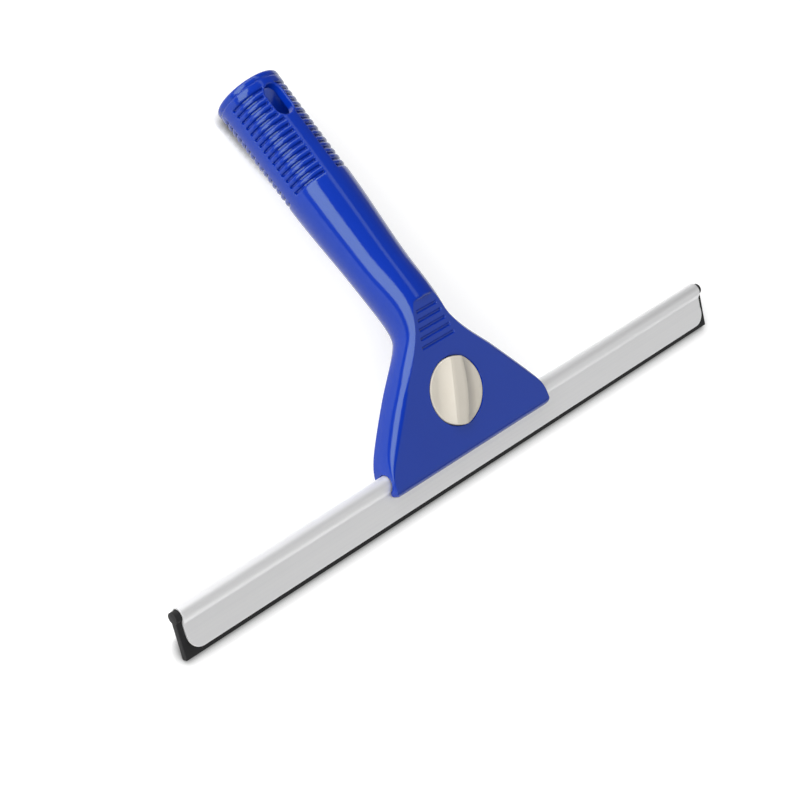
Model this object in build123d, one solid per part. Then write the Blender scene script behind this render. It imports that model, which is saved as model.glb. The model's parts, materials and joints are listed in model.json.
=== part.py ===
from build123d import *
import math
import os

# Window squeegee, in millimetres.
# It is drawn in the frame of its head: X along the blade, Y up the head, Z out of the head's face, with
# the origin on the axis of the channel's bead. At the end it is laid on its back, as it lies on a table:
# +Z up, +Y along the handle away from the blade, origin on the table under the middle of the whole.

# Aluminium channel: a tubular bead, a waist and two flanges that flare out to their lips
channel_length = 350.0
bead_r = 4.0
channel_wall = 0.95
waist_half = 2.4
waist_blend_r = 2.0
waist_end = 8.5
flare_angle = 7.5
front_flange = 16.8
back_flange = 13.0
front_corner_r = 6.5
back_corner_r = 4.0
blade_lean = 10.0

# Rubber strip: a bead inside the channel's bead, and a blade that reaches past the flanges
rubber_bead_clearance = 0.3
rubber_web_clearance = 0.1
rubber_reach = 20.0
rubber_overhang = 3.0

# Fishtail head: a fan with rounded sides, a flat face and square ends
head_half_width = 53.6
head_foot = 7.5
face_height = 6.0
back_depth = 7.0
face_stock = 0.5
fan_crease_over = 1.0
fan_slope = 38.5
fan_side_round = 12.3
fan_side_inset = 7.6
neck_side_inset = 4.2
neck_fairing = 2.5
fan_spans = 10
neck_spans = 12
face_foot_round = 3.6
back_foot_round = 2.4
end_round = 2.5
groove_clearance = 0.35

# Thumb pad: the top of the flat face, with short grooves across it
pad_top = 68.5
thumb_grooves = 5
thumb_first = 63.8
thumb_pitch = 4.05
thumb_half_first = 6.6
thumb_half_growth = 1.0
thumb_groove_width = 1.1
thumb_groove_depth = 0.5

# Handle: a round hollow grip that leans back from the head
handle_lean = 26.9
bend_height = 50.6
bend_tangent = 22.0
handle_length = 142.4
neck_r = 14.4
shaft_r = 15.4
shaft_at = 55.0
grip_start_r = 16.6
grip_start_at = 84.0
grip_end_r = 17.0
seam_flat = 0.4
neck_step = 0.15
end_rim_round = 1.6
socket_r = 13.0
socket_depth = 75.0
socket_lead = 0.8

# Grip pattern: patches of short grooves round the grip
patch_count = 4
patch_arc = 63.5
groove_count = 15
groove_pitch = 3.44
groove_width = 1.5
groove_depth = 0.7
last_groove_from_end = 7.8

# Hanging slot in the front of the grip
slot_length = 17.0
slot_width = 10.0
slot_from_end = 15.6

# Lock: a knob with cam and spindle, the jaw that it drives, a washer and a screw
knob_height = 22.4
knob_r = 15.9
knob_disc = 2.8
knob_edge = 0.5
knob_gap = 0.4
knob_seat_gap = 0.2
bar_angle = 18.0
bar_half = 4.0
bar_end_half = 3.2
bar_end_height = 2.0
bar_crown = 1.4
bar_flank = 6.5
bar_hollow = 0.27
cam_low = 6.0
jaw_lift = 2.0
lock_turn = 90.0
cam_clearance = 0.1
cam_floor_gap = 0.4
window_clearance = 0.3
spindle_r = 4.5
spindle_clearance = 0.08
spindle_end_gap = 0.1
jaw_half_width = 12.0
jaw_thickness = 5.0
jaw_clearance = 0.2
jaw_bead_gap = 0.3
jaw_top_bar = 3.0
back_wall = 1.6
washer_r = 5.5
washer_thickness = 0.8
washer_hole_r = 1.7
washer_room = 0.4
screw_r = 1.45
screw_length = 7.0
screw_head_r = 3.0
screw_head_height = 1.9
screw_hole_clearance = 0.05
screw_slot_width = 0.8
screw_slot_depth = 0.7

# A length past every face, for tools that cut right through
through = 400.0

# Planes and axes that the pieces share
lean = math.radians(handle_lean)
bend_r = bend_tangent / math.tan(lean / 2)
blade_angle = math.radians(blade_lean)
HANDLE = Plane(origin=(0, bend_height, 0), x_dir=(1, 0, 0), z_dir=(0, math.cos(lean), -math.sin(lean)))
BLADE = Plane(origin=(0, 0, 0), x_dir=(0, -math.sin(blade_angle), math.cos(blade_angle)), z_dir=(-1, 0, 0))
FLAT = Plane(origin=(0, 0, 0), x_dir=(1, 0, 0), z_dir=BLADE.x_dir)
KNOB = Plane(origin=(0, knob_height, 0), x_dir=(1, 0, 0), z_dir=(0, 0, 1))
rubber_web_half = waist_half - channel_wall - rubber_web_clearance

# Levels inside the head, from the bead's axis towards the face
recess_floor = face_height - knob_disc - knob_seat_gap
jaw_front = recess_floor - jaw_clearance
jaw_back = jaw_front - jaw_thickness
pocket_floor = jaw_back - jaw_clearance
counterbore_floor = pocket_floor - back_wall
spindle_end = counterbore_floor - spindle_end_gap
cam_rate = jaw_lift / math.radians(lock_turn)
cam_high = cam_low + jaw_lift
cam_reach = cam_high + cam_rate * math.radians(lock_turn) / 4
window_half = cam_reach + window_clearance
jaw_top = knob_height + cam_low + cam_clearance + jaw_top_bar


def block(x_half, y_low, y_high, z_low, z_high):
    """Box between levels of the head's frame, centred across the blade."""
    box = Box(2 * x_half, y_high - y_low, z_high - z_low)
    return Pos(0, (y_low + y_high) / 2, (z_low + z_high) / 2) * box


def keyhole(bead, waist, blend, drop):
    """Half outline of the channel in its section plane: bead, waist and one flared flange down to drop."""
    centre_x = waist + blend
    centre_y = -math.sqrt((bead + blend) ** 2 - centre_x ** 2)
    share = bead / (bead + blend)
    lip_half = waist + (drop - waist_end) * math.tan(math.radians(flare_angle))
    leave_bead = (centre_x * share, centre_y * share)
    round_bead = ThreePointArc((0, bead), (bead, 0), leave_bead)
    into_waist = TangentArc(leave_bead, (waist, centre_y), tangent=round_bead % 1)
    down = Polyline((waist, centre_y), (waist, -waist_end), (lip_half, -drop), (0, -drop), (0, bead))
    return make_face(round_bead + into_waist + down)


def channel_half(drop, corner_r):
    """One side of the channel: half the bead with the flange below it, its lower corners rounded."""
    outside = keyhole(bead_r, waist_half, waist_blend_r, drop)
    inner_blend = waist_blend_r + channel_wall
    inside = keyhole(bead_r - channel_wall, waist_half - channel_wall, inner_blend, drop + bead_r)
    side = extrude(BLADE * (outside - inside), channel_length / 2, both=True)
    plate = Rectangle(channel_length, drop + bead_r, align=(Align.CENTER, Align.MIN))
    plate = fillet(plate.vertices().group_by(Axis.Y)[0], corner_r)
    return side & extrude(FLAT * Pos(0, -drop) * plate, through, both=True)


def blade_channel():
    """Aluminium extrusion: the front flange is the longer one."""
    back = channel_half(back_flange, back_corner_r)
    return channel_half(front_flange, front_corner_r) + mirror(back, about=FLAT)


def rubber_blade():
    """Rubber strip: round bead in the channel's bead, flat blade between the flanges and past them."""
    bead = Circle(bead_r - channel_wall - rubber_bead_clearance)
    web = Rectangle(2 * rubber_web_half, rubber_reach, align=(Align.CENTER, Align.MAX))
    return extrude(BLADE * (bead + web), channel_length / 2 + rubber_overhang, both=True)


def spine_plane(along):
    """Section plane of the handle body, at a distance along its middle line from the bead's axis."""
    bend_from = bend_height - bend_tangent
    turn = min(max((along - bend_from) / bend_r, 0), lean)
    beyond = max(along - bend_from - bend_r * lean, 0)
    y = min(along, bend_from) + bend_r * math.sin(turn) + beyond * math.cos(turn)
    z = -bend_r * (1 - math.cos(turn)) - beyond * math.sin(turn)
    return Plane(origin=(0, y, z), x_dir=(1, 0, 0), z_dir=(0, -math.cos(turn), math.sin(turn)))


def rounded_section(half, side_round, front, back):
    """Section with flat front and back joined by rounded sides, as quarter ellipses."""
    flat = half - side_round
    pull = 0.5523
    quarters = []
    for sign, depth in ((1, front), (-1, -back), (-1, front), (1, -back)):
        corner = (sign * flat, depth)
        towards = (sign * (flat + pull * side_round), depth)
        leave = (sign * half, pull * depth)
        quarters.append(Bezier(corner, towards, leave, (sign * half, 0)))
    right_front, left_back, left_front, right_back = quarters
    lines = Line(left_front @ 0, right_front @ 0) + Line(left_back @ 0, right_back @ 0)
    return make_face(right_front + left_back + left_front + right_back + lines)


def head_section(along):
    """Section of the head and neck, which turns from the wide fan into the round handle."""
    bend_from = bend_height - bend_tangent
    share = min(max((along - bend_from) / (bend_r * lean), 0), 1)
    share = share * share * (3 - 2 * share)
    crease = head_half_width + fan_crease_over - along * math.tan(math.radians(fan_slope))
    half = crease + fan_side_inset + (neck_side_inset - fan_side_inset) * share
    over = (half - neck_r) / 2
    half = neck_r + over + math.hypot(over, neck_fairing * (1 - share ** 3))
    side_round = fan_side_round + (neck_r - seam_flat - fan_side_round) * share
    front = face_height + face_stock + (neck_r - face_height - face_stock) * share
    back = back_depth + (neck_r - back_depth) * share
    return spine_plane(along) * rounded_section(half, side_round, front, back)


def grip_form():
    """Handle past the bend: turned about its axis, slim at the neck and swelling into the grip's taper."""
    slope = (grip_end_r - grip_start_r) / (handle_length - grip_start_at)
    neck, shaft = (neck_r + neck_step, bend_tangent), (shaft_r, shaft_at)
    swell = Spline([neck, shaft, (grip_start_r, grip_start_at)], tangents=[(0, 1), (slope, 1)])
    end = Polyline(swell @ 1, (grip_end_r, handle_length), (0, handle_length), (0, bend_tangent), swell @ 0)
    return HANDLE * revolve(Plane.XZ * make_face(swell + end), Axis.Z)


def moulded_form():
    """Outside of the handle and head, before its cut-outs: fan, bent neck and grip."""
    bend_from = bend_height - bend_tangent
    fan_span = (bend_from + head_foot) / fan_spans
    neck_span = bend_r * lean / neck_spans
    places = [-head_foot + fan_span * step for step in range(fan_spans)]
    places += [bend_from + neck_span * step for step in range(neck_spans + 1)]
    return loft([head_section(place) for place in places]) + grip_form()


def grip_radius(along_handle):
    """Radius of the grip at a distance along the handle."""
    share = (along_handle - grip_start_at) / (handle_length - grip_start_at)
    return grip_start_r + (grip_end_r - grip_start_r) * share


def grip_grooves():
    """Cutters for the patches of grooves round the grip."""
    cutters = []
    for step in range(groove_count):
        middle = handle_length - last_groove_from_end - step * groove_pitch
        floor = grip_radius(middle) - groove_depth
        for patch in range(patch_count):
            start = 360 / patch_count * (patch + 0.5) - patch_arc / 2
            inner = CenterArc((0, 0), floor, start, patch_arc)
            outer = CenterArc((0, 0), grip_end_r + groove_depth, start, patch_arc)
            sector = make_face(inner + Line(inner @ 1, outer @ 1) + outer + Line(outer @ 0, inner @ 0))
            cutters.append(HANDLE * Pos(0, 0, middle) * extrude(sector, groove_width / 2, both=True))
    return cutters


def hanging_slot():
    """Cutter for the slot, from the socket out through the front of the grip."""
    middle = HANDLE.from_local_coords((0, 0, handle_length - slot_from_end))
    plane = Plane(origin=middle, x_dir=HANDLE.z_dir, z_dir=-HANDLE.y_dir)
    return extrude(plane * SlotOverall(slot_length, slot_width), grip_end_r + groove_depth)


def thumb_pad():
    """Cutter for the flat face, and the short grooves across its top."""
    depth = neck_r + head_half_width
    cutters = [block(depth, -through, pad_top, face_height, through)]
    for step in range(thumb_grooves):
        middle = thumb_first - step * thumb_pitch
        half = thumb_half_first + step * thumb_half_growth
        low, high = middle - thumb_groove_width / 2, middle + thumb_groove_width / 2
        cutters.append(block(half, low, high, face_height - thumb_groove_depth, face_height + 1))
    return cutters


def lock_room():
    """Cutters for the knob's recess, the jaw's pocket, the spindle's hole and the screw's counterbore."""
    recess_r = knob_r + knob_gap
    recess = KNOB * Pos(0, 0, recess_floor) * extrude(Circle(recess_r), through)
    pocket_top = jaw_top + jaw_lift + jaw_clearance
    pocket = block(jaw_half_width + jaw_clearance, 0, pocket_top, pocket_floor, recess_floor)
    hole = KNOB * extrude(Circle(spindle_r + spindle_clearance), -back_depth)
    counterbore = KNOB * Pos(0, 0, counterbore_floor) * extrude(Circle(washer_r + washer_room), -through)
    return [recess, pocket, hole, counterbore]


def handle_body():
    """Blue moulding: grip, neck and head in one piece."""
    pad = thumb_pad()
    body = moulded_form() & block(head_half_width, -through, through, -through, through)
    body -= pad[0]
    foot = body.faces().sort_by(Axis.Y)[0].edges().sort_by(Axis.Z)
    body = fillet(foot[-1], face_foot_round)
    foot = body.faces().sort_by(Axis.Y)[0].edges().sort_by(Axis.Z)
    body = fillet(foot[0], back_foot_round)
    for side in (0, -1):
        end = body.faces().sort_by(Axis.X)[side]
        body = fillet(end.outer_wire().edges(), end_round)
    rim = body.faces().sort_by(Axis(HANDLE.origin, HANDLE.z_dir))[-1]
    body = fillet(rim.outer_wire().edges(), end_rim_round)
    mouth = HANDLE * Pos(0, 0, handle_length)
    socket = mouth * extrude(Circle(socket_r), -socket_depth)
    lead = mouth * Pos(0, 0, -socket_lead / 2) * Cone(socket_r, socket_r + socket_lead, socket_lead)
    groove = offset(keyhole(bead_r, waist_half, waist_blend_r, front_flange), groove_clearance)
    groove += mirror(groove, about=Plane.YZ)
    groove = extrude(BLADE * groove, through, both=True)
    body -= [socket, lead, groove, hanging_slot()] + pad[1:] + lock_room() + grip_grooves()
    return body


def cam_point(turn):
    """Point of the cam's edge where its normal has the given angle: the lift grows evenly with it."""
    quarter = math.radians(lock_turn)
    if turn <= -quarter:
        reach, rate = cam_high + cam_rate * (turn + quarter), cam_rate
    elif turn <= 0:
        reach = cam_high - 2 * cam_rate / math.pi * turn * (turn + quarter)
        rate = -2 * cam_rate / math.pi * (2 * turn + quarter)
    else:
        reach, rate = cam_low + cam_rate * (quarter - turn), -cam_rate
    x = reach * math.cos(turn) - rate * math.sin(turn)
    y = reach * math.sin(turn) + rate * math.cos(turn)
    return x, y


def cam_face():
    """Outline of the cam, which fills the jaw's window from top to bottom at every angle of the turn."""
    quarter = math.radians(lock_turn)
    rising = Spline([cam_point(quarter * (step / 6 - 2)) for step in range(7)])
    nose = Spline([cam_point(quarter * (step / 6 - 1)) for step in range(7)])
    falling = Spline([cam_point(quarter * step / 6) for step in range(7)])
    low = CenterArc((0, 0), cam_low, 90, 90)
    flats = Line(falling @ 1, low @ 0) + Line(low @ 1, rising @ 0)
    return make_face(rising + nose + falling + flats + low)


def bar_section(place):
    """Section of the grip bar at a place along it: a flat top between hollow flanks."""
    share = (place / knob_r) ** 2
    half = bar_half + (bar_end_half - bar_half) * share
    top = face_height + bar_end_height + bar_crown * (1 - share)
    base = face_height - knob_disc / 2
    foot = half + bar_flank
    hollow = half + bar_flank * bar_hollow
    middle = face_height + (top - face_height) * bar_hollow
    right = ThreePointArc((foot, face_height), (hollow, middle), (half, top))
    left = ThreePointArc((-half, top), (-hollow, middle), (-foot, face_height))
    skirt = Polyline(left @ 1, (-foot, base), (foot, base), right @ 0)
    face = make_face(right + Line(right @ 1, left @ 0) + left + skirt)
    return Plane(origin=(0, place, 0), x_dir=(1, 0, 0), z_dir=(0, -1, 0)) * face


def grip_bar():
    """Raised bar across the knob, widest and highest in the middle, that rises out of the disc."""
    bar = loft([bar_section(place) for place in (-knob_r, 0, knob_r)]) & extrude(Circle(knob_r), through)
    return Rot(0, 0, -bar_angle) * bar


def lock_knob():
    """Beige moulding: disc with the grip bar in front, cam and spindle behind, screw hole in the spindle."""
    seat = recess_floor + knob_seat_gap
    disc = Pos(0, 0, seat) * extrude(Circle(knob_r), knob_disc)
    disc = chamfer(disc.edges().group_by(Axis.Z)[-1], knob_edge)
    cam_back = pocket_floor + cam_floor_gap
    cam = Pos(0, 0, cam_back) * extrude(cam_face(), seat - cam_back)
    spindle = Pos(0, 0, spindle_end) * extrude(Circle(spindle_r), seat - spindle_end)
    hole_r = screw_r + screw_hole_clearance
    hole = Pos(0, 0, spindle_end) * extrude(Circle(hole_r), screw_length)
    return KNOB * (disc + grip_bar() + cam + spindle - hole)


def clamp_jaw():
    """Grey block round the cam, with a hollow foot that bears on the channel's bead."""
    jaw = block(jaw_half_width, 0, jaw_top, jaw_back, jaw_front)
    low = knob_height - cam_high - cam_clearance
    high = knob_height + cam_low + cam_clearance
    jaw -= block(window_half, low, high, -through, through)
    return jaw - extrude(Plane.YZ * Circle(bead_r + jaw_bead_gap), through, both=True)


def retaining_washer():
    """Steel washer on the end of the spindle: it bears on the head's back wall and holds the knob in."""
    washer = Circle(washer_r) - Circle(washer_hole_r)
    return KNOB * Pos(0, 0, spindle_end) * extrude(washer, -washer_thickness)


def retaining_screw():
    """Steel screw through the washer into the spindle, with a slotted pan head."""
    seat = spindle_end - washer_thickness
    head = extrude(Circle(screw_head_r), -screw_head_height)
    head = chamfer(head.edges().group_by(Axis.Z)[0], screw_head_height / 3)
    slot = Pos(0, 0, -screw_head_height) * Box(2 * screw_head_r, screw_slot_width, 2 * screw_slot_depth)
    shank = extrude(Circle(screw_r), screw_length)
    return KNOB * Pos(0, 0, seat) * (head + shank - slot)


# Laid on its back: the rubber's tip and the handle's end both touch the table
tip = BLADE.from_local_coords((-rubber_web_half, -rubber_reach, 0))
heel = HANDLE.from_local_coords((0, grip_end_r - end_rim_round, handle_length - end_rim_round))
span = heel - tip
tilt = math.asin(end_rim_round / math.hypot(span.Y, span.Z)) - math.atan2(span.Z, span.Y)

pieces = {
    "handle_body": handle_body(),
    "lock_knob": lock_knob(),
    "clamp_jaw": clamp_jaw(),
    "retaining_washer": retaining_washer(),
    "retaining_screw": retaining_screw(),
    "blade_channel": blade_channel(),
    "rubber_blade": rubber_blade(),
}
whole = Compound([Rot(math.degrees(tilt), 0, 0) * shape for shape in pieces.values()]).bounding_box()
rest = Pos(-whole.center().X, -whole.center().Y, -whole.min.Z) * Rot(math.degrees(tilt), 0, 0)

os.makedirs("parts", exist_ok=True)
for name, shape in pieces.items():
    export_step(rest * shape, f"parts/{name}.step")
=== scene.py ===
import json
import math
import bmesh
import bpy
from mathutils import Matrix, Quaternion, Vector


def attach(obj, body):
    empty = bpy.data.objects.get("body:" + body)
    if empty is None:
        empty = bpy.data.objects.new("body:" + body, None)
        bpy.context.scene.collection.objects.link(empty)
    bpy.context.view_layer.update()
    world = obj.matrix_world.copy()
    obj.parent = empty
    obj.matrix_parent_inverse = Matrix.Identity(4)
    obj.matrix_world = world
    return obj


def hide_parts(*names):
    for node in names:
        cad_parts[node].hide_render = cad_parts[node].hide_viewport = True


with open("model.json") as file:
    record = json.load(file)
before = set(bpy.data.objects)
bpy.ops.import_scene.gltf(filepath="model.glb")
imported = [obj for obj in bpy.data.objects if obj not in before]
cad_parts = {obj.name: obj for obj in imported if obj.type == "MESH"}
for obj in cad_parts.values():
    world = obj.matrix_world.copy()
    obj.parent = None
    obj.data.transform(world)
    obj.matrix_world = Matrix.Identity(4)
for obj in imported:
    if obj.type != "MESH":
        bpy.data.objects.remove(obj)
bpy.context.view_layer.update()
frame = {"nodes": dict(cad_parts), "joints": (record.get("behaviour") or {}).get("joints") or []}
scene = bpy.context.scene

# Handle body: one hollow moulding with the ribbed grip, the bent neck and the fishtail head.
# It is injection-moulded polypropylene, drawn here in millimetres in the frame of its head: X along the
# blade, Y up the head, Z out of the face, from the axis of the channel's bead.
joints = {joint["name"]: joint for joint in frame["joints"]}
head_up = Vector(joints["jaw_slide"]["axis"])
head_out = Vector(joints["knob_turn"]["axis"])
knob_height = 22.4
face_height = 6.0
knob_centre = Vector(joints["knob_turn"]["pos_m"])
bead_axis = knob_centre - head_up * knob_height / 1000 - head_out * face_height / 1000
head_axes = Matrix((Vector((1, 0, 0)), head_up, head_out)).transposed().to_4x4()
head_frame = Matrix.Translation(bead_axis) @ head_axes @ Matrix.Scale(0.001, 4)

head_half_width = 53.6
head_foot = 7.5
back_depth = 7.0
face_foot_round = 3.6
back_foot_round = 2.4
end_foot_round = 3.2
end_edge_round = 1.8
fan_at_bead = 54.6
fan_slope = math.tan(math.radians(38.5))
crease_share = 0.46
fan_share = 0.06
neck_front_r = 15.2
neck_waist = 0.6
neck_flat = 1.5
side_inset = 1.6
side_drop = 6.0
back_reach = 9.0
fan_inset, neck_inset = 5.0, 2.6
waist_along, waist_run = 66, 12
neck_ease, corner_ease, flat_ease = 1.2, 2.6, 1.0
corner_square = 1.4
pad_top = 68.5
bend_height = 50.6
bend_length = 56.0
handle_lean = math.radians(26.9)
handle_length = 142.4
swell_from, swell_to = 20, 95
neck_r = 14.4
grip_r = 16.65
grip_end_r = 17.0
socket_r = 13.0
socket_depth = 75.0
end_rim_round = 1.6
patch_from, patch_to = 13.25, 76.75
groove_count = 15
groove_pitch = 3.44
groove_depth = 1.5
groove_floor = 0.8
rib_square = 2.2
last_groove = handle_length - 7.8
slot_centre = handle_length - 15.6
slot_half_run = 3.5
slot_r = 5.0
slot_lip = 0.8

# Stretches of the middle line, from the bead up, over which the sizes of the head pass into those of the neck
inset_stretch = 20, 75
flat_stretch = 30, 62
back_stretch = 22, 74
level_stretch = 30, 68
front_stretch = 26, 70
reach_stretch = 30, 75
flat_end = 90
front_run = 34
crease_run = 24


def smooth(low, high, value):
    """Share from 0 to 1 between two limits, with soft ends that leave no crease in a reflection."""
    share = min(max((value - low) / (high - low), 0), 1)
    return share ** 3 * (share * (6 * share - 15) + 10)


def larger(first, second, ease):
    """The larger of two values, eased where they cross."""
    half = (first - second) / 2
    return second + half + math.sqrt(half * half + ease * ease)


def smaller(first, second, ease):
    """The smaller of two values, eased where they cross."""
    return -larger(-first, -second, ease)


# Middle line of the bend, added up in short steps, from the end of the head to the start of the handle
bend_steps = 400
bend_line = [(0.0, 0.0, 0.0)]
for step in range(bend_steps):
    turn = handle_lean * smooth(0, bend_steps, step + 0.5)
    run = bend_length / bend_steps
    y, z, _ = bend_line[-1]
    bend_line.append((y + run * math.cos(turn), z - run * math.sin(turn), turn))
bend_tangent = -bend_line[-1][1] / math.sin(handle_lean)
bend_start = bend_height - bend_tangent
handle_from = bend_start + bend_length - bend_tangent


def spine(along):
    """Place and turn of the section at a distance along the middle line."""
    step = min(max((along - bend_start) / bend_length * bend_steps, 0), bend_steps)
    index = min(int(step), bend_steps - 1)
    share = step - index
    low, high = bend_line[index], bend_line[index + 1]
    y, z, turn = (a + (b - a) * share for a, b in zip(low, high))
    beyond = max(along - bend_start - bend_length, 0)
    y += min(along, bend_start) + beyond * math.cos(turn)
    return y, z - beyond * math.sin(turn), turn


def foot_arc(depth, radius, along):
    """Depth of a face that rounds into the foot of the head."""
    below = max(radius - head_foot - along, 0)
    return depth - radius + math.sqrt(max(radius * radius - below * below, 0))


def tube_radius(along):
    """Outside radius of the handle: a slim neck that swells into the grip."""
    on_handle = along - handle_from
    swell = (grip_r - neck_r) * smooth(swell_from, swell_to, on_handle)
    flare_out = max((on_handle - swell_to) / (handle_length - swell_to), 0)
    return neck_r + swell + (grip_end_r - grip_r) * flare_out


def section(along):
    """Sizes of a section: half width, flat half, face level, back depth, and how square its sides are."""
    _, z, turn = spine(along)
    face = (face_height - z) / math.cos(turn)
    fan = fan_at_bead - fan_slope * along
    inset = fan_inset + (neck_inset - fan_inset) * smooth(*inset_stretch, along)
    waist = neck_waist * math.exp(-(((along - waist_along) / waist_run) ** 2))
    wide = larger(fan + inset, tube_radius(along) - waist, neck_ease)
    limit = foot_arc(head_half_width, end_foot_round, along)
    half = smaller(wide, limit, corner_ease)
    square = 2 + corner_square * smooth(0, 6, wide - half)
    neck_share = smooth(*flat_stretch, along)
    flat = smaller(fan - side_inset, limit - end_edge_round, flat_ease) * (1 - neck_share)
    flat += neck_flat * (neck_share - smooth(top_along, flat_end, along))
    face = min(face, foot_arc(face_height, face_foot_round, along)) if along < 0 else face
    back = back_depth + (tube_radius(along) - back_depth) * smooth(*back_stretch, along)
    back = foot_arc(back, back_foot_round, along)
    return half, flat, face, back, square


def section_angles():
    """Angles of the points round a quarter of a section, closer together at the edges of a grip patch."""
    edges = (patch_from, patch_to)
    fine = [edge + 0.5 * step for edge in edges for step in (-2, -1, 0, 1, 2)]
    even = [1.5 * step for step in range(20)] + [30 + 2.5 * step for step in range(25)]
    even = [angle for angle in even if min(abs(angle - edge) for edge in edges) > 1.4]
    return sorted(fine + [angle for angle in even if abs(angle - crease_angle) > 0.6] + [crease_angle])


crease_angle = math.degrees(math.asin(crease_share))
quarter = section_angles()


def widest_level(along):
    """Level at which a section is widest: low on the head, and on the axis of the handle."""
    return -side_drop * (1 - smooth(*level_stretch, along))


def neck_front(along, face, low, square):
    """Height of a section's front over its widest level, and the share of its side's reach at the crease."""
    height = (min(face, face_height) - low) / (1 - fan_share ** square) ** (1 / square)
    to_tube = smooth(top_along, top_along + front_run, along)
    raised = neck_front_r + (tube_radius(along) - neck_front_r) * to_tube
    height += (raised - low - height) * smooth(*front_stretch, along)
    if along <= top_along:
        return height, max(1 - ((face - low) / height) ** square, 0.001) ** (1 / square)
    return height, top_share + (crease_share - top_share) * smooth(top_along, top_along + crease_run, along)


def outline(along, pad, sink=None):
    """Points of one section, from the middle of the front round to the back and up the other side. The
    pad value says how far the front is brought down to the flat face, and sink how deep a groove is."""
    y, z, turn = spine(along)
    half, flat, face, back, square = section(along)
    power = 2 / square
    low = widest_level(along)
    front, share = neck_front(along, face, low, square)
    back += low
    crease = flat + (half - flat) * share
    rear_reach = back_reach + (half - back_reach) * smooth(*reach_stretch, along)
    start = math.degrees(math.asin(share ** (square / 2)))
    right = []
    for side, depth, reach in ((1, front, half - flat), (-1, back, rear_reach)):
        level_half = half - reach
        for angle in quarter if side > 0 else quarter[-2::-1]:
            if side < 0:
                bent = angle
            elif angle < crease_angle:
                bent = angle * start / crease_angle
            else:
                bent = 90 - (90 - angle) * (90 - start) / (90 - crease_angle)
            bent = math.radians(bent)
            x = level_half * min(angle / crease_angle, 1) + reach * math.sin(bent) ** power
            level = low + side * depth * max(math.cos(bent), 0) ** power
            if side > 0 and angle < crease_angle:
                x += (crease * angle / crease_angle - x) * pad
                level += (face - level) * pad
            drop = sink(angle) if sink else 0
            out = math.hypot(x, level)
            x, level = x * (1 - drop / out), level * (1 - drop / out)
            right.append((x, y + level * math.sin(turn), z + level * math.cos(turn)))
    return right + [(-x, y, z) for x, y, z in right[-2:0:-1]]


rib_half = (groove_pitch - groove_floor) / 2


def rib_sink(on_handle):
    """Depth of the grip pattern at a distance along the handle, as a function of the angle round it: round
    ribs between grooves, plain strips between the patches and a plain lip round the hanging slot."""
    groove = min(max(round((last_groove - on_handle) / groove_pitch), 0), groove_count - 1)
    from_rib = groove_pitch / 2 - abs(on_handle - last_groove + groove * groove_pitch)
    share = min(max(from_rib, 0) / rib_half, 1)
    depth = groove_depth * (1 - (1 - share ** rib_square) ** (1 / rib_square))
    run = max(abs(on_handle - slot_centre) - slot_half_run, 0)

    def sink(angle):
        patch = smooth(patch_from - 1, patch_from + 1, angle) * smooth(-patch_to - 1, -patch_to + 1, -angle)
        from_slot = math.hypot(run, math.radians(angle) * grip_end_r) - slot_r
        return depth * patch * smooth(slot_lip, slot_lip + 0.8, from_slot)

    return sink


def skin(name, rows):
    """Closed mesh object through rows of points, each row a closed loop."""
    count = len(rows[0])
    faces = [tuple(reversed(range(count)))]
    for row in range(len(rows) - 1):
        for point in range(count):
            here, after = row * count + point, row * count + (point + 1) % count
            faces.append((here, after, after + count, here + count))
    faces.append(tuple(range((len(rows) - 1) * count, len(rows) * count)))
    mesh = bpy.data.meshes.new(name)
    mesh.from_pydata([point for row in rows for point in row], [], faces)
    piece = bpy.data.objects.new(name, mesh)
    scene.collection.objects.link(piece)
    return piece


def turned_out(piece):
    """Faces all to the outside."""
    work = bmesh.new()
    work.from_mesh(piece.data)
    bmesh.ops.recalc_face_normals(work, faces=work.faces)
    work.to_mesh(piece.data)
    work.free()
    return piece


def combine(piece, others, operation):
    """Cuts the other objects out of a piece, or adds them to it, and removes them."""
    for other in others:
        change = piece.modifiers.new("combine", "BOOLEAN")
        change.operation = operation
        change.solver = "EXACT"
        change.object = turned_out(other)
    shape = piece.evaluated_get(bpy.context.evaluated_depsgraph_get())
    mesh = bpy.data.meshes.new_from_object(shape)
    piece.modifiers.clear()
    piece.data = mesh
    for other in others:
        bpy.data.objects.remove(other)


def disc(radius, y, z):
    """Circle of points round the knob's axis, at a height up the head and a level out of its face."""
    turns = [2 * math.pi * step / 96 for step in range(96)]
    return [(radius * math.sin(turn), y + radius * math.cos(turn), z) for turn in turns]


def bar(half, low, high, back, front):
    """Box across the head between two heights, from a back level to a front level."""
    corners = ((-half, low), (half, low), (half, high), (-half, high))
    return skin("bar", [[(x, y, z) for x, y in corners] for z in (back, front)])


def keyhole(bead, waist, blend, drop, lip):
    """Points of half the channel's section, from the top of the bead down to the lip of the flange."""
    centre_x = waist + blend
    centre_y = -math.sqrt((bead + blend) ** 2 - centre_x ** 2)
    leave = math.atan2(-centre_y, centre_x)
    points = []
    for step in range(25):
        turn = math.pi / 2 - (math.pi / 2 + leave) * step / 24
        points.append((bead * math.cos(turn), bead * math.sin(turn)))
    for step in range(1, 13):
        turn = math.pi - leave * (1 - step / 12)
        points.append((centre_x + blend * math.cos(turn), centre_y + blend * math.sin(turn)))
    return points + [(waist, -waist_end), (lip, -drop)]


bead_r = 4.0
waist_half = 2.4
waist_blend_r = 2.0
waist_end = 8.5
flare = math.tan(math.radians(7.5))
blade_lean = math.radians(10)
groove_clearance = 0.35
groove_drop = 20
groove_half_run = 80


def on_blade(x, across, up):
    """Point of the blade, whose section leans back from the head's."""
    y = up * math.cos(blade_lean) - across * math.sin(blade_lean)
    return x, y, across * math.cos(blade_lean) + up * math.sin(blade_lean)


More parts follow.
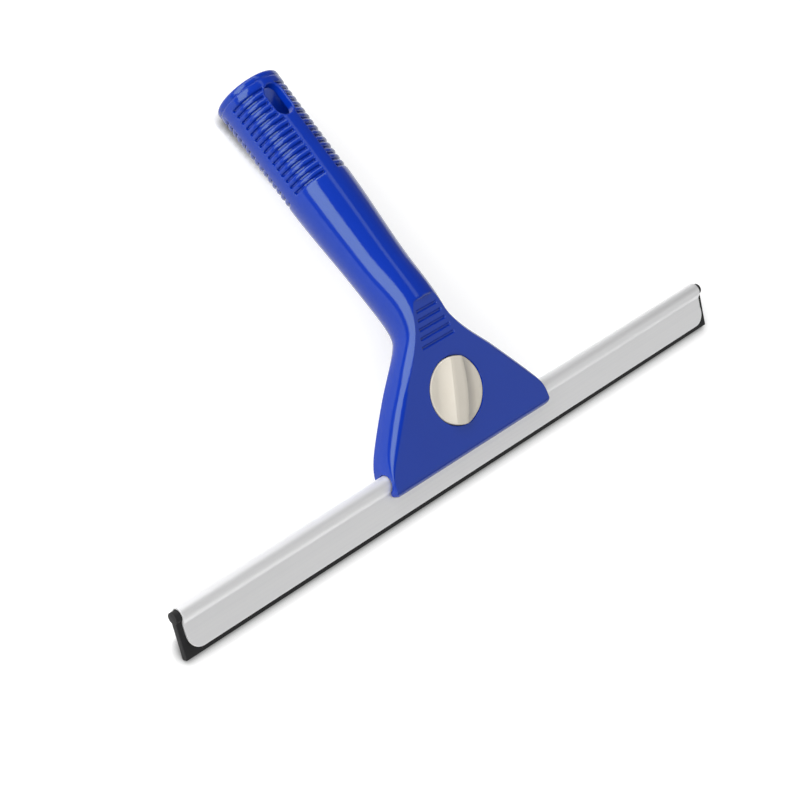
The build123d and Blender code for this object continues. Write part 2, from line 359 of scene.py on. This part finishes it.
def pad_along():
    """Distance along the middle line of the section that crosses the face at the top of the thumb pad."""
    low, high = bend_start, bend_start + bend_length
    for _ in range(40):
        middle = (low + high) / 2
        y, z, turn = spine(middle)
        reaches = y + (face_height - z) * math.tan(turn) < pad_top
        low, high = (middle, high) if reaches else (low, middle)
    return low


# Rows of the skin, from the foot of the head to the bottom of the socket, closest where the shape turns most
top_along = pad_along()
top_share = neck_front(top_along, section(top_along)[2], widest_level(top_along), 2)[1]
rows = []
foot_stations = [-head_foot + face_foot_round * (1 - math.cos(math.radians(10 * step))) for step in range(10)]
fan_stations = [-3 + step for step in range(18)] + [15 + 1.9 * step for step in range(5)]
neck_from = 24.0
neck_steps = 36
neck_stations = [neck_from + (top_along - neck_from) * step / neck_steps for step in range(neck_steps + 1)]
for along in foot_stations + fan_stations + neck_stations:
    rows.append(outline(along, 1))
pad_edge = ((0.25, 0.35), (0.45, 0.12), (0.75, 0.03), (1.2, 0))
for past, pad in pad_edge:
    rows.append(outline(top_along + past, pad))
shaft_from = top_along + 2.4
shaft_to = handle_from + last_groove - (groove_count - 0.5) * groove_pitch
shaft_steps = 32
for step in range(shaft_steps):
    rows.append(outline(shaft_from + (shaft_to - shaft_from) * step / shaft_steps, 0))
rib_stations = (0, 0.4, 0.6, 0.76, 0.88, 0.96, 1)
for groove in reversed(range(groove_count)):
    middle = last_groove - groove * groove_pitch
    offsets = [share * rib_half - groove_pitch / 2 for share in rib_stations] + [0]
    for offset in offsets + [-offset for offset in offsets[-2:0:-1]]:
        rows.append(outline(handle_from + middle + offset, 0, rib_sink(middle + offset)))
end_ring = ((5.2, 0), (4.4, 0), (3.9, 0), (3.65, 0.16), (3.3, 0.28), (2.95, 0.16), (2.7, 0), (2.2, 0))
for from_end, depth in end_ring:
    rows.append(outline(handle_from + handle_length - from_end, 0, lambda angle, depth=depth: depth))


def ring(radius, on_handle):
    """Round row of the handle's end and socket, with a point at each angle of the sections."""
    y, z, turn = spine(handle_from + on_handle)
    angles = quarter + [180 - angle for angle in quarter[-2::-1]]
    right = []
    for angle in map(math.radians, angles):
        level = radius * math.cos(angle)
        right.append((radius * math.sin(angle), y + level * math.sin(turn), z + level * math.cos(turn)))
    return right + [(-x, y, z) for x, y, z in right[-2:0:-1]]


for step in range(7):
    turn = math.radians(15 * step)
    inward = end_rim_round * (1 - math.cos(turn))
    rows.append(ring(grip_end_r - inward, handle_length - end_rim_round * (1 - math.sin(turn))))
mouth = ((14.3, 0), (13.9, 0.08), (13.4, 0.5), (socket_r, 1.0), (socket_r, 6), (socket_r, 40))
for radius, from_end in mouth:
    rows.append(ring(radius, handle_length - from_end))
rows.append(ring(socket_r, handle_length - socket_depth))
handle = turned_out(skin("handle_moulding", rows))

# Hollows of the moulding: the channel's groove, those of the lock, the thumb grooves and the hanging slot
cutters = []
groove_waist = waist_half + groove_clearance
profile = keyhole(bead_r + groove_clearance, groove_waist, waist_blend_r - groove_clearance,
                  groove_drop, groove_waist + (groove_drop - waist_end) * flare)
profile += [(-across, up) for across, up in profile[-1:0:-1]]
ends = (-groove_half_run, groove_half_run)
cutters.append(skin("channel_groove", [[on_blade(x, *point) for point in profile] for x in ends]))

recess_floor = 3.0
recess_r = 16.3
pocket_half, pocket_top, pocket_back = 12.2, 33.7, -2.4
spindle_hole_r = 4.58
counterbore_r, counterbore_edge_r = 5.9, 6.3
levels = ((recess_r, recess_floor), (recess_r, face_height - 0.3), (recess_r + 0.1, face_height - 0.1),
          (recess_r + 0.35, face_height + 0.05), (recess_r + 0.35, face_height + 4))
cutters.append(skin("knob_recess", [disc(radius, knob_height, level) for radius, level in levels]))
cutters.append(bar(pocket_half, 0, pocket_top, pocket_back, recess_floor + 0.01))
cutters.append(skin("spindle_hole", [disc(spindle_hole_r, knob_height, level) for level in (-6, 0)]))
levels = ((counterbore_r, -4.0), (counterbore_r, -6.7), (counterbore_edge_r, -7.1), (counterbore_edge_r, -12))
cutters.append(skin("screw_counterbore", [disc(radius, knob_height, level) for radius, level in levels]))

thumb_top = 63.8
thumb_pitch = 4.05
thumb_half, thumb_end = 6.6, 0.7
thumb_floor_half = 0.1
thumb_profile = ((0.75, 0), (0.68, 0.25), (0.48, 0.45), (0.2, 0.6), (0.04, 0.75), (-0.4, 1.2))
corners = ((-1, -1), (1, -1), (1, 1), (-1, 1))
for step in range(5):
    middle = thumb_top - step * thumb_pitch
    half = thumb_half + step
    rows = []
    for deep, grow in thumb_profile:
        wide, tall = half - thumb_end + grow, thumb_floor_half + grow
        rows.append([(i * wide, middle + j * tall, face_height - deep) for i, j in corners])
    cutters.append(skin("thumb_groove", rows))

rows = []
slot_profile = ((-8, 0), (-slot_lip, 0), (-0.5, 0.06), (-0.27, 0.2), (-0.1, 0.42), (0.02, 0.85), (1.5, 2.3))
for deep, grow in slot_profile:
    loop = []
    for step in range(64):
        turn = 2 * math.pi * step / 64
        across = (slot_r + grow) * math.sin(turn)
        run = (slot_r + grow) * math.cos(turn) + math.copysign(slot_half_run, math.cos(turn))
        y, z, lean = spine(handle_from + slot_centre + run)
        radius = tube_radius(handle_from + slot_centre + run) + deep
        round_grip = across / grip_end_r
        level = radius * math.cos(round_grip)
        loop.append((radius * math.sin(round_grip), y + level * math.sin(lean), z + level * math.cos(lean)))
    rows.append(loop)
cutters.append(skin("hanging_slot", rows))
combine(handle, cutters, "DIFFERENCE")


def finish_shape(piece, sharp, material, slot, body, *nodes):
    """Puts a piece in its place in metres, smooth up to an angle, with its finish, body and CAD nodes."""
    piece.data.transform(head_frame)
    turned_out(piece)
    piece.data.shade_smooth()
    piece.data.set_sharp_from_angle(angle=math.radians(sharp))
    piece.data.materials.clear()
    piece.data.materials.append(material)
    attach(piece, body)
    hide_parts(*nodes)


def colour(code):
    """Linear colour from an sRGB hex value."""
    parts = [int(code[place:place + 2], 16) / 255 for place in (1, 3, 5)]
    parts = [part / 12.92 if part <= 0.04045 else ((part + 0.055) / 1.055) ** 2.4 for part in parts]
    return (*parts, 1)


def add(tree, kind, sockets=None, **settings):
    """Adds a node with its settings; a socket takes a value, or the output that is linked to it."""
    node = tree.nodes.new(kind)
    for name, value in settings.items():
        setattr(node, name, value)
    for name, value in (sockets or {}).items():
        if isinstance(value, bpy.types.NodeSocket):
            tree.links.new(value, node.inputs[name])
        else:
            node.inputs[name].default_value = value
    return node


def new_material(name):
    """Empty material, its node tree and its shader."""
    material = bpy.data.materials.new(name)
    material.use_nodes = True
    return material, material.node_tree, material.node_tree.nodes["Principled BSDF"]


# Moulded polypropylene: glossy from a polished mould, with a faint flow mottle, rub marks that make its shine
# uneven, edges slightly rounded by the mould, and a shine with less red and blue in it than the light has
moulded_blue, tree, shader = new_material("moulded_polypropylene")
place = add(tree, "ShaderNodeTexCoord").outputs["Object"]
flow = add(tree, "ShaderNodeTexNoise", {"Vector": place, "Scale": 1 / 0.035, "Detail": 3.0})
shades = add(tree, "ShaderNodeMix", {"Factor": flow.outputs["Fac"], "A": colour("#042B9A"),
                                     "B": colour("#0730A2")}, data_type="RGBA")
rub = add(tree, "ShaderNodeTexNoise", {"Vector": place, "Scale": 1 / 0.006, "Detail": 4.0, "Roughness": 0.6})
shine = add(tree, "ShaderNodeMapRange", {"Value": rub.outputs["Fac"], "To Min": 0.09, "To Max": 0.16})
grain = add(tree, "ShaderNodeTexNoise", {"Vector": place, "Scale": 1 / 0.0025, "Detail": 2.0})
soft_edge = add(tree, "ShaderNodeBevel", {"Radius": 0.00035}, samples=4)
ripple = add(tree, "ShaderNodeBump", {"Height": grain.outputs["Fac"], "Normal": soft_edge.outputs["Normal"],
                                      "Strength": 0.06, "Distance": 0.0001})
tree.links.new(shades.outputs["Result"], shader.inputs["Base Color"])
tree.links.new(shine.outputs["Result"], shader.inputs["Roughness"])
tree.links.new(ripple.outputs["Normal"], shader.inputs["Normal"])
shader.inputs["IOR"].default_value = 1.49
shader.inputs["Specular Tint"].default_value = (0.77, 1.0, 0.55, 1)
finish_shape(handle, 28, moulded_blue, "blue_plastic", "handle", "handle_body")

# Lock knob: a round disc with a grip bar that rises out of it in hollow flanks, and behind it the spindle
# and cam. It is moulded in one piece of beige ABS and turns in the recess of the head.
knob_r = 15.9
knob_back = 3.2
rim_round = 0.45
bar_angle = math.radians(18)
bar_half = 4.0
bar_end_half = 3.2
bar_end_height = 2.0
bar_crown = 1.1
flank = 7.4
flank_hollow = 1.8
bar_edge = 0.35


def knob_level(across, along_bar, half):
    """Height of the knob's front over its disc: flat, hollow flank, rounded edge and arched top."""
    top = bar_end_height + bar_crown * (1 - (along_bar / knob_r) ** 2)
    past = max(abs(across) - half, 0)
    return top * max(1 - past / flank, 0) ** flank_hollow


def knob_top():
    """Grid of the knob's front inside its rim, in the bar's own directions, rows along the bar."""
    inner = knob_r - rim_round
    end = math.sqrt(inner ** 2 - (bar_end_half + 0.5) ** 2)
    grid = []
    for step in range(49):
        along_bar = -end * math.cos(math.pi * step / 48)
        half = bar_half + (bar_end_half - bar_half) * (along_bar / knob_r) ** 2
        chord = math.sqrt(inner ** 2 - along_bar ** 2)
        line = []
        for share in [(part / 20) ** 1.6 for part in range(20, 0, -1)]:
            across = half + (chord - half) * share
            line.append((-across, knob_level(across, along_bar, half)))
        top = knob_level(0, along_bar, half)
        line.append((-half, top - bar_edge * 0.35))
        line += [(across * (half - bar_edge), top) for across in (-1, -0.5, 0, 0.5, 1)]
        line.append((half, top - bar_edge * 0.35))
        line += [(-across, level) for across, level in line[19::-1]]
        grid.append([(across, along_bar, level) for across, level in line])
    return grid


def knob_shell():
    """Closed mesh of the disc and bar: the front grid, its rounded rim, the wall and the back."""
    grid = knob_top()
    wide, long = len(grid[0]), len(grid)
    verts = [point for line in grid for point in line]
    faces = []
    for j in range(long - 1):
        for i in range(wide - 1):
            here = j * wide + i
            faces.append((here, here + 1, here + wide + 1, here + wide))
    loop = list(range(wide)) + [j * wide + wide - 1 for j in range(1, long)]
    loop += [(long - 1) * wide + i for i in range(wide - 2, -1, -1)]
    loop += [j * wide for j in range(long - 2, 0, -1)]
    edge = [verts[index] for index in loop]
    last = loop
    for turn in (25, 50, 70, 90, None):
        ring_now = []
        for x, y, level in edge:
            out = knob_r - rim_round * (1 - math.sin(math.radians(turn or 90)))
            scale = out / math.hypot(x, y)
            down = level - rim_round * (1 - math.cos(math.radians(turn or 90)))
            if turn is None:
                down = knob_back - face_height
            ring_now.append(len(verts))
            verts.append((x * scale, y * scale, down))
        for place_now in range(len(loop)):
            after = (place_now + 1) % len(loop)
            faces.append((last[place_now], last[after], ring_now[after], ring_now[place_now]))
        last = ring_now
    faces.append(tuple(last))
    turn = Matrix.Rotation(-bar_angle, 4, "Z")
    place_on_head = Matrix.Translation((0, knob_height, face_height)) @ turn
    mesh = bpy.data.meshes.new("lock_knob_moulding")
    mesh.from_pydata([place_on_head @ Vector(point) for point in verts], [], faces)
    piece = bpy.data.objects.new("lock_knob_moulding", mesh)
    scene.collection.objects.link(piece)
    return turned_out(piece)


cam_low = 6.0
cam_high = 8.0
cam_back = -2.0
spindle_r = 4.5
spindle_back = -4.1
screw_hole_r = 1.5
screw_hole_end = 2.9


def cam_edge(turn):
    """Point of the cam's edge, whose reach grows evenly from low to high over a quarter turn."""
    rate = (cam_high - cam_low) / (math.pi / 2)
    if turn <= -math.pi / 2:
        reach, slope = cam_high + rate * (turn + math.pi / 2), rate
    elif turn <= 0:
        reach = cam_high - 2 * rate / math.pi * turn * (turn + math.pi / 2)
        slope = -2 * rate / math.pi * (2 * turn + math.pi / 2)
    else:
        reach, slope = cam_low + rate * (math.pi / 2 - turn), -rate
    x = reach * math.cos(turn) - slope * math.sin(turn)
    return x, knob_height + reach * math.sin(turn) + slope * math.cos(turn)


knob = knob_shell()
cam_outline = [cam_edge(math.pi * (step / 24 - 1)) for step in range(37)]
for step in range(13):
    turn = math.pi / 2 * (1 + step / 12)
    cam_outline.append((cam_low * math.cos(turn), knob_height + cam_low * math.sin(turn)))
cam = skin("cam", [[(x, y, level) for x, y in cam_outline] for level in (cam_back, knob_back + 0.5)])
spindle = skin("spindle", [disc(spindle_r, knob_height, level) for level in (spindle_back, knob_back + 0.3)])
combine(knob, [cam, spindle], "UNION")
screw_hole = skin("screw_hole", [disc(screw_hole_r, knob_height, level) for level in (-6, screw_hole_end)])
combine(knob, [screw_hole], "DIFFERENCE")

# Moulded ABS: satin, with a fine spark-eroded texture, slightly yellowed, and softly rounded at its edges
moulded_beige, tree, shader = new_material("moulded_ABS")
place = add(tree, "ShaderNodeTexCoord").outputs["Object"]
tone = add(tree, "ShaderNodeTexNoise", {"Vector": place, "Scale": 1 / 0.012, "Detail": 2.0})
shades = add(tree, "ShaderNodeMix", {"Factor": tone.outputs["Fac"], "A": colour("#CDC6B9"),
                                     "B": colour("#D6D0C4")}, data_type="RGBA")
grain = add(tree, "ShaderNodeTexNoise", {"Vector": place, "Scale": 1 / 0.0004, "Detail": 1.0})
soft_edge = add(tree, "ShaderNodeBevel", {"Radius": 0.0003}, samples=4)
ripple = add(tree, "ShaderNodeBump", {"Height": grain.outputs["Fac"], "Normal": soft_edge.outputs["Normal"],
                                      "Strength": 0.08, "Distance": 0.00005})
shine = add(tree, "ShaderNodeMapRange", {"Value": tone.outputs["Fac"], "To Min": 0.38, "To Max": 0.48})
tree.links.new(shades.outputs["Result"], shader.inputs["Base Color"])
tree.links.new(shine.outputs["Result"], shader.inputs["Roughness"])
tree.links.new(ripple.outputs["Normal"], shader.inputs["Normal"])
shader.inputs["IOR"].default_value = 1.53
finish_shape(knob, 35, moulded_beige, "beige_plastic", "knob", "lock_knob")

# Blade channel: an aluminium extrusion with a tubular bead, a waist and two flanges whose lower corners are
# cut round. The bead slides into the groove of the head, and the jaw presses on it.
channel_half_length = 175.0
channel_wall = 0.95
front_flange, back_flange = 16.8, 13.0
front_corner, back_corner = 6.5, 4.0
lip_round = 0.3


def corner_cut(from_end, radius):
    """How much of a flange its rounded corner takes away at a distance from the channel's end."""
    short = max(radius - from_end, 0)
    return radius - math.sqrt(max(radius * radius - short * short, 0))


def channel_side(drop):
    """Half the section down to a flange's lip: outside down, rounded lip, and inside up to the bead's top."""
    inner_blend = waist_blend_r + channel_wall
    outside = keyhole(bead_r, waist_half, waist_blend_r, drop, waist_half + (drop - waist_end) * flare)
    inside = keyhole(bead_r - channel_wall, waist_half - channel_wall, inner_blend, drop,
                     waist_half - channel_wall + (drop - waist_end) * flare)
    if drop < waist_end:
        outside[-2] = (outside[-2][0], -drop + 0.4)
        inside[-2] = (inside[-2][0], -drop + 0.4)
        outside[-1], inside[-1] = (waist_half, -drop), (waist_half - channel_wall, -drop)
    lip = []
    for side, (x, y) in ((-1, outside[-1]), (1, inside[-1])):
        lip += [(x + side * lip_round * part, y + lip_round * rise) for part, rise in
                ((0, 1), (0.3, 0.3), (1, 0))[::-side]]
    return outside[:-1] + lip + inside[:-1][::-1]


def channel_row(x):
    """Closed outline of the channel's section at a place along it."""
    from_end = channel_half_length - abs(x)
    front = channel_side(front_flange - corner_cut(from_end, front_corner))
    back = channel_side(back_flange - corner_cut(from_end, back_corner))
    loop = front + [(-across, up) for across, up in back[-2:0:-1]]
    return [on_blade(x, *point) for point in loop]


stations = [channel_half_length - 0.0005]
turns = [math.radians(6 * step) for step in range(1, 16)]
stations += [channel_half_length - front_corner * (1 - math.cos(turn)) for turn in turns]
stations += [168, 140, 100, head_half_width, 20]
stations += [-x for x in reversed(stations)]
channel = turned_out(skin("channel_extrusion", [channel_row(x) for x in stations]))

# Anodised aluminium: a pale satin metal with faint lines along the extrusion, a finely etched skin that
# spreads its shine, and a painted highlight that lightens its edges towards white
anodised, tree, shader = new_material("anodised_aluminium")
place = add(tree, "ShaderNodeTexCoord").outputs["Object"]
drawn = add(tree, "ShaderNodeMapping", {"Vector": place, "Scale": (3, 1 / 0.0008, 1 / 0.0008)})
lines = add(tree, "ShaderNodeTexNoise", {"Vector": drawn.outputs["Vector"], "Scale": 1.0, "Detail": 3.0})
etch = add(tree, "ShaderNodeTexNoise", {"Vector": place, "Scale": 1 / 0.0003, "Detail": 1.0})
cloud = add(tree, "ShaderNodeTexNoise", {"Vector": place, "Scale": 1 / 0.04, "Detail": 2.0})
shades = add(tree, "ShaderNodeMix", {"Factor": lines.outputs["Fac"], "A": colour("#F0F0F1"),
                                     "B": colour("#F7F7F7")}, data_type="RGBA")
shine = add(tree, "ShaderNodeMapRange", {"Value": cloud.outputs["Fac"], "To Min": 0.55, "To Max": 0.62})
soft_edge = add(tree, "ShaderNodeBevel", {"Radius": 0.0002}, samples=4)
ripple = add(tree, "ShaderNodeBump", {"Height": lines.outputs["Fac"], "Normal": soft_edge.outputs["Normal"],
                                      "Strength": 0.05, "Distance": 0.00005})
ripple = add(tree, "ShaderNodeBump", {"Height": etch.outputs["Fac"], "Normal": ripple.outputs["Normal"],
                                      "Strength": 0.06, "Distance": 0.00003})
# Painted highlight: at edges, where a rounded normal parts from the plain one, the colour goes towards white
plain = add(tree, "ShaderNodeNewGeometry").outputs["Normal"]
rounded = add(tree, "ShaderNodeBevel", {"Radius": 0.0006}, samples=6)
facing = add(tree, "ShaderNodeVectorMath", {0: rounded.outputs["Normal"], 1: plain}, operation="DOT_PRODUCT")
highlight_edges = add(tree, "ShaderNodeMapRange", {"Value": facing.outputs["Value"], "From Min": 0.8, "From Max": 0.99,
                                       "To Min": 1.0, "To Max": 0.0})
painted_edge_highlight = add(tree, "ShaderNodeMix", {"Factor": highlight_edges.outputs["Result"], "A": shades.outputs["Result"],
                                   "B": colour("#FDFDFD")}, data_type="RGBA")
tree.links.new(painted_edge_highlight.outputs["Result"], shader.inputs["Base Color"])
tree.links.new(shine.outputs["Result"], shader.inputs["Roughness"])
tree.links.new(ripple.outputs["Normal"], shader.inputs["Normal"])
shader.inputs["Metallic"].default_value = 1.0
finish_shape(channel, 30, anodised, "aluminium", "channel", "blade_channel")

# Rubber blade: a strip with a round bead and a flat blade with square working edges. It is extruded natural
# rubber, threaded into the channel from one end, and it stands out a little at both ends.
rubber_bead_r = 2.75
rubber_half = 1.35
rubber_reach = 20.0
rubber_half_length = 178.0
rubber_edge = 0.25


def rubber_loop(inset):
    """Closed outline of the strip's section, drawn in a little at its ends."""
    meet = math.sqrt(rubber_bead_r ** 2 - rubber_half ** 2)
    leave = math.atan2(-meet, rubber_half)
    radius = rubber_bead_r - inset
    half = rubber_half - inset
    right = []
    for step in range(33):
        turn = math.pi / 2 + (leave - math.pi / 2) * step / 32
        right.append((radius * math.cos(turn), radius * math.sin(turn)))
    right[-1] = (half, right[-1][1])
    right += [(half, -8), (half, -14), (half, -rubber_reach + rubber_edge + inset)]
    right += [(half - rubber_edge * 0.3, -rubber_reach + rubber_edge * 0.3 + inset)]
    right += [(half - rubber_edge, -rubber_reach + inset)]
    return right + [(-across, up) for across, up in right[-1:0:-1]]


stations = [(-rubber_half_length, 0.25), (-rubber_half_length + 0.08, 0.1), (-rubber_half_length + 0.25, 0)]
stations += [(-120, 0), (-60, 0), (0, 0)]
stations += [(-x, inset) for x, inset in reversed(stations[:-1])]
rows = [[on_blade(x, *point) for point in rubber_loop(inset)] for x, inset in stations]
strip = turned_out(skin("rubber_strip", rows))

# Natural rubber: a dull black with a bloom that greys it in clouds, faint lines along the extrusion, and
# edges mixed towards a lighter grey
black_rubber, tree, shader = new_material("natural_rubber")
place = add(tree, "ShaderNodeTexCoord").outputs["Object"]
drawn = add(tree, "ShaderNodeMapping", {"Vector": place, "Scale": (6, 1 / 0.001, 1 / 0.001)})
lines = add(tree, "ShaderNodeTexNoise", {"Vector": drawn.outputs["Vector"], "Scale": 1.0, "Detail": 3.0})
bloom = add(tree, "ShaderNodeTexNoise", {"Vector": place, "Scale": 1 / 0.008, "Detail": 4.0})
shades = add(tree, "ShaderNodeMix", {"Factor": bloom.outputs["Fac"], "A": colour("#161617"),
                                     "B": colour("#222223")}, data_type="RGBA")
shine = add(tree, "ShaderNodeMapRange", {"Value": bloom.outputs["Fac"], "To Min": 0.5, "To Max": 0.65})
ripple = add(tree, "ShaderNodeBump", {"Height": lines.outputs["Fac"], "Strength": 0.12, "Distance": 0.0001})
# Edges, where a rounded normal parts from the plain one, are mixed towards a lighter grey
plain = add(tree, "ShaderNodeNewGeometry").outputs["Normal"]
rounded = add(tree, "ShaderNodeBevel", {"Radius": 0.0006}, samples=6)
facing = add(tree, "ShaderNodeVectorMath", {0: rounded.outputs["Normal"], 1: plain}, operation="DOT_PRODUCT")
grey_edge_mask = add(tree, "ShaderNodeMapRange", {"Value": facing.outputs["Value"], "From Min": 0.8, "From Max": 0.99,
                                        "To Min": 0.8, "To Max": 0.0})
grey_edges = add(tree, "ShaderNodeMix", {"Factor": grey_edge_mask.outputs["Result"], "A": shades.outputs["Result"],
                                   "B": colour("#565656")}, data_type="RGBA")
tree.links.new(grey_edges.outputs["Result"], shader.inputs["Base Color"])
tree.links.new(shine.outputs["Result"], shader.inputs["Roughness"])
tree.links.new(ripple.outputs["Normal"], shader.inputs["Normal"])
shader.inputs["Specular IOR Level"].default_value = 0.25
finish_shape(strip, 30, black_rubber, "rubber", "rubber", "rubber_blade")

# Clamp jaw: a small block round the cam, out of sight in the pocket of the head. It is moulded acetal,
# which the cam presses down on the channel's bead.

# Moulded acetal: a dense grey with a waxy, even shine and a faint cloud
moulded_grey, tree, shader = new_material("moulded_acetal")
place = add(tree, "ShaderNodeTexCoord").outputs["Object"]
tone = add(tree, "ShaderNodeTexNoise", {"Vector": place, "Scale": 1 / 0.005, "Detail": 3.0})
shades = add(tree, "ShaderNodeMix", {"Factor": tone.outputs["Fac"], "A": colour("#8A8C8E"),
                                     "B": colour("#96989A")}, data_type="RGBA")
tree.links.new(shades.outputs["Result"], shader.inputs["Base Color"])
shader.inputs["Roughness"].default_value = 0.42
frame["nodes"]["clamp_jaw"].data.materials.clear()
frame["nodes"]["clamp_jaw"].data.materials.append(moulded_grey)

# Retaining washer and screw: they hold the spindle from behind, in the counterbore of the head. Both are
# bought pieces of zinc-plated steel.

# Zinc-plated steel: a pale bluish metal, a little cloudy, with a shine that varies with the cloud
plated_steel, tree, shader = new_material("zinc_plated_steel")
place = add(tree, "ShaderNodeTexCoord").outputs["Object"]
cloud = add(tree, "ShaderNodeTexNoise", {"Vector": place, "Scale": 1 / 0.002, "Detail": 4.0})
shades = add(tree, "ShaderNodeMix", {"Factor": cloud.outputs["Fac"], "A": colour("#B4B6BA"),
                                     "B": colour("#CFD0D3")}, data_type="RGBA")
shine = add(tree, "ShaderNodeMapRange", {"Value": cloud.outputs["Fac"], "To Min": 0.25, "To Max": 0.45})
tree.links.new(shades.outputs["Result"], shader.inputs["Base Color"])
tree.links.new(shine.outputs["Result"], shader.inputs["Roughness"])
shader.inputs["Metallic"].default_value = 1.0
for node in ("retaining_washer", "retaining_screw"):
    frame["nodes"][node].data.materials.clear()
    frame["nodes"][node].data.materials.append(plated_steel)

# Camera: a long lens high on the left of the squeegee, rolled so that the blade climbs to the right
camera = bpy.data.objects.new("camera", bpy.data.cameras.new("camera"))
scene.collection.objects.link(camera)
view_right = Vector((0.6916, -0.54875, 0.46970))
view_up = Vector((0.4131, 0.83386, 0.36605))
view_back = Vector((-0.5925, -0.05910, 0.80338))
camera.matrix_world = Matrix((view_right, view_up, view_back)).transposed().to_4x4()
camera.location = (-0.55924, -0.11088, 0.74287)
camera.data.lens = 89.64
camera.data.sensor_width = 36
camera.data.clip_start = 0.01
scene.camera = camera
scene.view_settings.view_transform = "Standard"

# Floor: a pale sheet under the squeegee. What the eye and shiny surfaces see of it is lifted to white. It
# keeps the squeegee's shadow, and has a painted contact shadow that darkens it close to what touches it.
floor_half = 4.0
contact_reach = 0.005
contact_power = 2.2
white_lift = 0.58
mesh = bpy.data.meshes.new("floor")
mesh.from_pydata([(x * floor_half, y * floor_half, 0) for x, y in corners], [], [(0, 1, 2, 3)])
floor = bpy.data.objects.new("floor", mesh)
scene.collection.objects.link(floor)
white_sheet, tree, shader = new_material("white_sheet")
# Painted contact shadow: ambient occlusion darkens the sheet's colour and its lift close to the squeegee
painted_contact_shadow = add(tree, "ShaderNodeAmbientOcclusion", {"Color": colour("#C6C6C6"), "Distance": contact_reach},
           samples=12)
contact_shadow_strength = add(tree, "ShaderNodeMath", {0: painted_contact_shadow.outputs["AO"], 1: contact_power}, operation="POWER")
tree.links.new(painted_contact_shadow.outputs["Color"], shader.inputs["Base Color"])
shader.inputs["Roughness"].default_value = 0.9
shader.inputs["Specular IOR Level"].default_value = 0.0
path = add(tree, "ShaderNodeLightPath")
seen = add(tree, "ShaderNodeMath", {0: path.outputs["Is Camera Ray"], 1: path.outputs["Is Glossy Ray"]},
           operation="ADD")
seen = add(tree, "ShaderNodeMath", {0: seen.outputs[0], 1: path.outputs["Is Transmission Ray"]},
           operation="ADD")
lift = add(tree, "ShaderNodeMath", {0: seen.outputs[0], 1: white_lift}, operation="MULTIPLY")
lift = add(tree, "ShaderNodeMath", {0: lift.outputs[0], 1: contact_shadow_strength.outputs[0]}, operation="MULTIPLY")
shader.inputs["Emission Color"].default_value = colour("#FFFFFF")
tree.links.new(lift.outputs[0], shader.inputs["Emission Strength"])
mesh.materials.append(white_sheet)

# Light: a dim white room that is darker overhead, a soft box high behind the handle, a long panel on the
# left that draws the highlight along the handle, a small lamp at the front left for the grip's ribs, a dim
# panel on the right that greys the face, and a faint strip overhead
room = bpy.data.worlds.new("white_room")
scene.world = room
room.use_nodes = True
tree = room.node_tree
way = add(tree, "ShaderNodeTexCoord").outputs["Generated"]
height = add(tree, "ShaderNodeSeparateXYZ", {0: way})
level = add(tree, "ShaderNodeMapRange", {"Value": height.outputs["Z"], "From Min": 0.2, "From Max": 0.5,
                                         "To Min": 0.3, "To Max": 0.2}, interpolation_type="SMOOTHSTEP")
path = add(tree, "ShaderNodeLightPath")
strength = add(tree, "ShaderNodeMix", {"Factor": path.outputs["Is Camera Ray"],
                                       "A": level.outputs["Result"], "B": 1.0})
tree.links.new(strength.outputs[0], tree.nodes["Background"].inputs["Strength"])
tree.nodes["Background"].inputs["Color"].default_value = colour("#FFFFFF")


def soft_box(name, way, distance, wide, tall, strength, roll=0):
    """Rectangular lamp at a distance from the squeegee, facing it, of an even brightness."""
    lamp = bpy.data.lights.new(name, "AREA")
    lamp.shape = "RECTANGLE"
    lamp.size, lamp.size_y = wide, tall
    lamp.energy = strength * math.pi * wide * tall
    light = bpy.data.objects.new(name, lamp)
    scene.collection.objects.link(light)
    way = Vector(way).normalized()
    light.location = way * distance
    facing = way.to_track_quat("Z", "Y") @ Quaternion((0, 0, 1), math.radians(roll))
    light.rotation_euler = facing.to_euler()


soft_box("key_box", (-0.05, 0.75, 0.65), 1.6, 1.2, 0.9, 2.7)
soft_box("left_strip", (-0.755, 0.345, 0.557), 1.4, 2.0, 0.9, 4.1)
soft_box("rib_lamp", (-0.62, -0.62, 0.48), 1.5, 0.9, 0.4, 4.6)
soft_box("right_panel", (0.59, -0.56, 0.58), 1.5, 1.4, 1.1, 0.64)
soft_box("top_strip", (0.25, 0.3, 0.92), 1.5, 0.3, 0.9, 1.2, 40)
